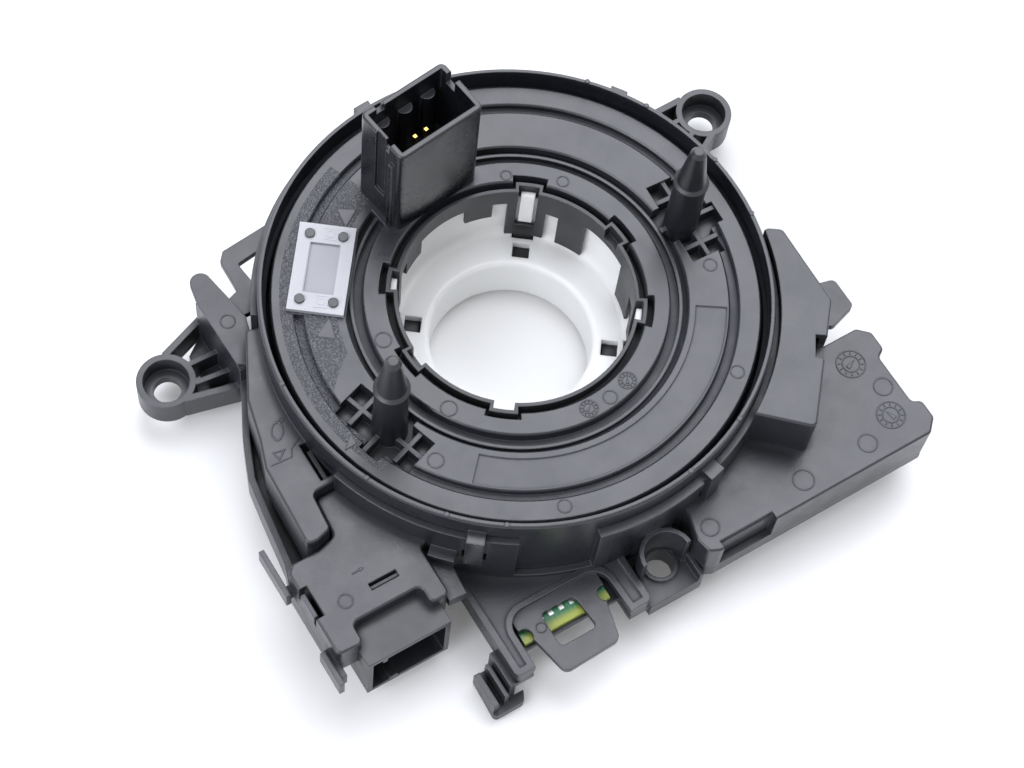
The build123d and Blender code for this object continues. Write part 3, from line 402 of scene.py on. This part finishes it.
# %% Circuit board and ribbon
def laminate(name, resist, weave):
    """Board or film: a coated face over a woven or drawn pattern of that size in mm."""
    material, tree, shader = new_material(name)
    where = add(tree, "TexCoord").outputs["Object"]
    # the wave draws about three bands to a unit of scale, so a band comes out at twice the
    # real width, which is coarse enough to show
    cloth = add(tree, "TexWave", {"Vector": where},
                {"Scale": per(weave) / 6, "Distortion": 0.6, "Detail": 1.0})
    tone = add(tree, "Mix", {"Factor": cloth.outputs["Fac"]}, data_type="RGBA")
    tone.inputs["A"].default_value = linear(resist)
    tone.inputs["B"].default_value = tuple(c * 0.75 for c in linear(resist)[:3]) + (1,)
    bump = add(tree, "Bump", {"Height": cloth.outputs["Fac"]}, {"Strength": 0.3, "Distance": 0.01 * MM})
    tree.links.new(tone.outputs["Result"], shader.inputs["Base Color"])
    tree.links.new(bump.outputs[0], shader.inputs["Normal"])
    shader.inputs["Roughness"].default_value = 0.35
    return material


green_board = laminate("FR4 with green resist", "#2c7a50", 0.5)
edged_board = laminate("FR4 with a bare edge", "#2c7a50", 0.5)
amber_film = laminate("polyester ribbon film", "#b99a55", 1.2)
print("laminates:", [made.name for made in (green_board, edged_board, amber_film)])

# %% Bare front edge of the contact board
tree = edged_board.node_tree
shader = next(node for node in tree.nodes if node.type == "BSDF_PRINCIPLED")
place_on_board = add(tree, "SeparateXYZ", {"Vector": add(tree, "TexCoord").outputs["Object"]})
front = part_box("contact_board")[0][1]
bare = add(tree, "MapRange", {"Value": place_on_board.outputs["Y"]},
           {"From Min": front + 0.7 * MM, "From Max": front + 2.0 * MM, "To Min": 0.9, "To Max": 0.0})
resist = shader.inputs["Base Color"].links[0].from_socket
edge = add(tree, "Mix", {"Factor": bare.outputs[0], "A": resist}, data_type="RGBA")
edge.inputs["B"].default_value = linear("#aab23c")
tree.links.new(edge.outputs["Result"], shader.inputs["Base Color"])
print("board edge at y:", round(front / MM, 1), "mm")

# %% [markdown]
# ## Which piece wears which finish
# A CAD piece keeps its own mesh, so dressing it is only a matter of putting the right
# material in its slot.

# %% Dress the CAD pieces
FINISHES = [
    (housing_black, ["lower_housing", "harness_clip"]),
    (drum_black, ["drum_ring"]),
    (cover_black, ["plug_cover", "front_panel", "sensor_box_cover", "side_cap"]),
    (socket_black, ["harness_socket", "ribbon_terminal_outer", "ribbon_terminal_inner", "light_barriers"]),
    (rotor_black, ["rotor_cover"]),
    (plug_black, ["wheel_plug"]),
    (post_black, ["drive_post_left", "drive_post_right", "winding_drum"]),
    (clip_black, ["hub_clip_ring"]),
    (disc_black, ["code_disc"]),
    (white_acetal, ["hub_sleeve"]),
    (frosted, ["centring_window"]),
    (gold, ["wheel_plug_pins"]),
    (tin, ["harness_pins", "board_pads"]),
    (green_board, ["sensor_board"]),
    (edged_board, ["contact_board"]),
    (amber_film, ["ribbon_cable"]),
]
for finish, names in FINISHES:
    for name in names:
        mesh = nodes[name].data
        mesh.materials.clear()
        mesh.materials.append(finish)
dressed = sum(len(names) for _, names in FINISHES)
print("dressed nodes:", dressed, "of", len(nodes))

# %% [markdown]
# ## Marks of the moulding tool
# Wherever a pin of the tool pushed a moulding out, it left a faint disc. Raised dials
# tell the month of moulding, triangles show the middle position, and a zero marks
# the place that the steering wheel starts from. All are a few hundredths of a
# millimetre high on the real part, and are made a little higher here so that they show.
# They could be a bump, but real relief keeps its edges crisp in every view. Three
# helpers put a ring, a flat plate and a frame into a bmesh, a fourth draws a thin line, and
# the last makes it a piece.

# %% Helpers for raised marks
RELIEF = 0.09
SUNK = 0.05


def ring(shape, x, y, z, radius, width=0.2):
    """A flat ring: a small rectangle spun round the ring's middle."""
    corners = [(radius - width, -SUNK), (radius, -SUNK), (radius, RELIEF), (radius - width, RELIEF)]
    verts = [shape.verts.new(Vector((x + out, y, z + rise)) * MM) for out, rise in corners]
    edges = [shape.edges.new(pair) for pair in zip(verts, verts[1:] + verts[:1])]
    bmesh.ops.spin(shape, geom=verts + edges, cent=Vector((x, y, z)) * MM, axis=(0, 0, 1),
                   angle=math.tau, steps=40, use_merge=True)


def raise_faces(shape, faces):
    """Give flat faces the marks' thickness."""
    made = bmesh.ops.extrude_face_region(shape, geom=faces)["geom"]
    lifted = [item for item in made if isinstance(item, bmesh.types.BMVert)]
    bmesh.ops.translate(shape, vec=(0, 0, (RELIEF + SUNK) * MM), verts=lifted)


def plate(shape, points, z):
    """A flat plate with that outline."""
    corners = [shape.verts.new(Vector((x, y, z - SUNK)) * MM) for x, y in points]
    raise_faces(shape, [shape.faces.new(corners)])


def outline(shape, points, z, width=0.22):
    """A narrow frame along the inside of that outline."""
    corners = [shape.verts.new(Vector((x, y, z - SUNK)) * MM) for x, y in points]
    face = shape.faces.new(corners)
    face.normal_update()
    border = bmesh.ops.inset_region(shape, faces=[face], thickness=width * MM,
                                     use_boundary=True, use_even_offset=True)["faces"]
    bmesh.ops.delete(shape, geom=[face], context="FACES_ONLY")
    raise_faces(shape, border)


def ridge(shape, path, z, width=0.16):
    """A narrow line along that path."""
    points = [Vector(point) for point in path]
    sides = []
    for before, here, after in zip(points[:1] + points, points, points[1:] + points[-1:]):
        ahead = (after - before).normalized()
        sides.append((here, Vector((-ahead.y, ahead.x)) * width / 2))
    there, back = [here + side for here, side in sides], [here - side for here, side in reversed(sides)]
    plate(shape, there + back, z)


def piece(name, shape, finish, body):
    """Close the bmesh into a named piece that rides on a body."""
    bmesh.ops.remove_doubles(shape, verts=shape.verts, dist=0.001 * MM)
    bmesh.ops.recalc_face_normals(shape, faces=shape.faces)
    mesh = bpy.data.meshes.new(name)
    shape.to_mesh(mesh)
    shape.free()
    mesh.materials.append(finish)
    thing = bpy.data.objects.new(name, mesh)
    bpy.context.collection.objects.link(thing)
    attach(thing, body)
    print(name, "faces:", len(mesh.polygons))


# %% [markdown]
# The discs of the pins are plain rings. Their places are in millimetres, and each lies
# at the height of the face that carries it.

# %% Pin discs
rotor_top = 27.2
shape = bmesh.new()
for x, y, radius in [(11.49, 22.64, 1.1), (20.14, 16.28, 1.2), (-26.06, 3.99, 1.6), (-22.75, -13.66, 1.6),
                     (3.68, -26.14, 1.4), (-14.8, -40.1, 1.35), (26.65, -33.35, 1.35),
                     (-29.99, -21.24, 1.55), (34.6, -12.4, 1.35)]:
    ring(shape, x, y, rotor_top, radius)
piece("rotor_pin_discs", shape, rotor_black, "rotor")

lid_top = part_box("sensor_box_cover")[1][2] / MM
shape = bmesh.new()
for x, y, radius in [(53.0, -46.11, 1.9), (43.75, -54.19, 1.9), (29.1, -54.35, 2.1), (8.99, -53.55, 1.8)]:
    ring(shape, x, y, lid_top, radius)
piece("lid_pin_discs", shape, cover_black, "housing")

leaf_top = 18.0
shape = bmesh.new()
ring(shape, -46.61, 25.44, leaf_top, 1.45)
piece("leaf_pin_disc", shape, housing_black, "housing")

plug_cover_top = 20.0
shape = bmesh.new()
ring(shape, -55.58, -33.96, plug_cover_top, 1.4)
plate(shape, [(-52.1, -30.25), (-50.6, -30.2), (-50.6, -29.95), (-52.1, -30.0)], plug_cover_top)
plate(shape, [(-50.6, -30.45), (-49.7, -30.05), (-50.6, -29.7)], plug_cover_top)
piece("plug_cover_marks", shape, cover_black, "housing")

# %% [markdown]
# A month dial has two rings, twelve ticks between them and an arrow. A figure by each
# tick would be too small to read at this size, so the ticks alone are made.

# %% Month dials
def dial(shape, x, y, z, radius, turned):
    """A month dial, its arrow at that angle in degrees."""
    ring(shape, x, y, z, radius)
    ring(shape, x, y, z, radius * 0.6, 0.16)
    middle = Vector((x, y))
    for tick in range(12):
        out = Vector((math.cos(tick * math.tau / 12), math.sin(tick * math.tau / 12)))
        side = Vector((-out.y, out.x)) * 0.08
        start, end = middle + out * radius * 0.68, middle + out * radius * 0.84
        plate(shape, [start - side, end - side, end + side, start + side], z)
    out = Vector((math.cos(math.radians(turned)), math.sin(math.radians(turned))))
    side = Vector((-out.y, out.x)) * radius * 0.16
    tail, tip = middle - out * radius * 0.35, middle + out * radius * 0.4
    plate(shape, [tail - side, tip, tail + side], z)


shape = bmesh.new()
dial(shape, 8.2, -24.85, rotor_top, 1.75, 60)
dial(shape, -0.88, -26.15, rotor_top, 1.75, 35)
piece("rotor_dials", shape, rotor_black, "rotor")

shape = bmesh.new()
dial(shape, 50.41, -39.23, lid_top, 2.9, 20)
dial(shape, 50.86, -51.63, lid_top, 2.8, 110)
piece("lid_dials", shape, cover_black, "housing")

# %% [markdown]
# Three smooth triangles stand in the rotor's grained field. The field's coarse grain
# sits in the rotor's own material, so these pieces wear a smooth black instead. The
# zero on the flange is a ring, scaled to an oval and turned the way it is read, with a
# degree ring, a pointer and a thin line beside it.

# %% Triangles and the zero mark
shape = bmesh.new()
for points in ([(-19.85, 31.89), (-16.69, 29.88), (-20.35, 27.48)],
               [(-32.08, 12.98), (-36.26, 10.53), (-33.46, 8.39)],
               [(-40.5, -9.25), (-42.96, -11.65), (-40.45, -11.5)]):
    plate(shape, points, rotor_top)
piece("rotor_triangles", shape, drum_black, "rotor")

flange_top = 23.0
zero = bmesh.new()
ring(zero, 0, 0, 0, 1.0, 0.2)
bmesh.ops.scale(zero, vec=(1.15, 1.95, 1), verts=zero.verts)
bmesh.ops.rotate(zero, cent=(0, 0, 0), matrix=Matrix.Rotation(math.radians(-29), 3, "Z"), verts=zero.verts)
bmesh.ops.translate(zero, vec=Vector((-50.6, -0.7, flange_top)) * MM, verts=zero.verts)
ring(zero, -48.95, 0.85, flange_top, 0.45, 0.16)
outline(zero, [(-53.52, -3.96), (-51.01, -4.5), (-53.02, -5.94)], flange_top)
ridge(zero, [(-54.9, -6.1), (-50.79, -6.41), (-50.1, -5.02), (-47.9, -3.75)], flange_top)
piece("zero_mark", zero, drum_black, "housing")

# %% [markdown]
# The clear window has a framed field between its pins and a small framed boss at each
# end. They're raised frames of the same frosted plastic.

# %% Frames on the window
window_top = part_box("centring_window")[1][2] / MM
shape = bmesh.new()
for points in ([(-24.11, 29.2), (-22.0, 27.53), (-23.4, 25.44), (-25.41, 27.05)],
               [(-32.45, 17.77), (-30.51, 16.31), (-31.98, 14.24), (-34.04, 15.69)]):
    outline(shape, points, window_top)
    ring(shape, sum(x for x, _ in points) / 4, sum(y for _, y in points) / 4, window_top, 0.75, 0.16)
piece("window_frames", shape, frosted, "rotor")

# %% [markdown]
# ## Size of the part
# The CAD part's box is printed in millimetres. Nothing added may stick out of the CAD
# part's box.

# %% Sizes and finish
print("CAD box in mm:", [round((b - a) / MM, 1) for a, b in zip(*cad_box)])
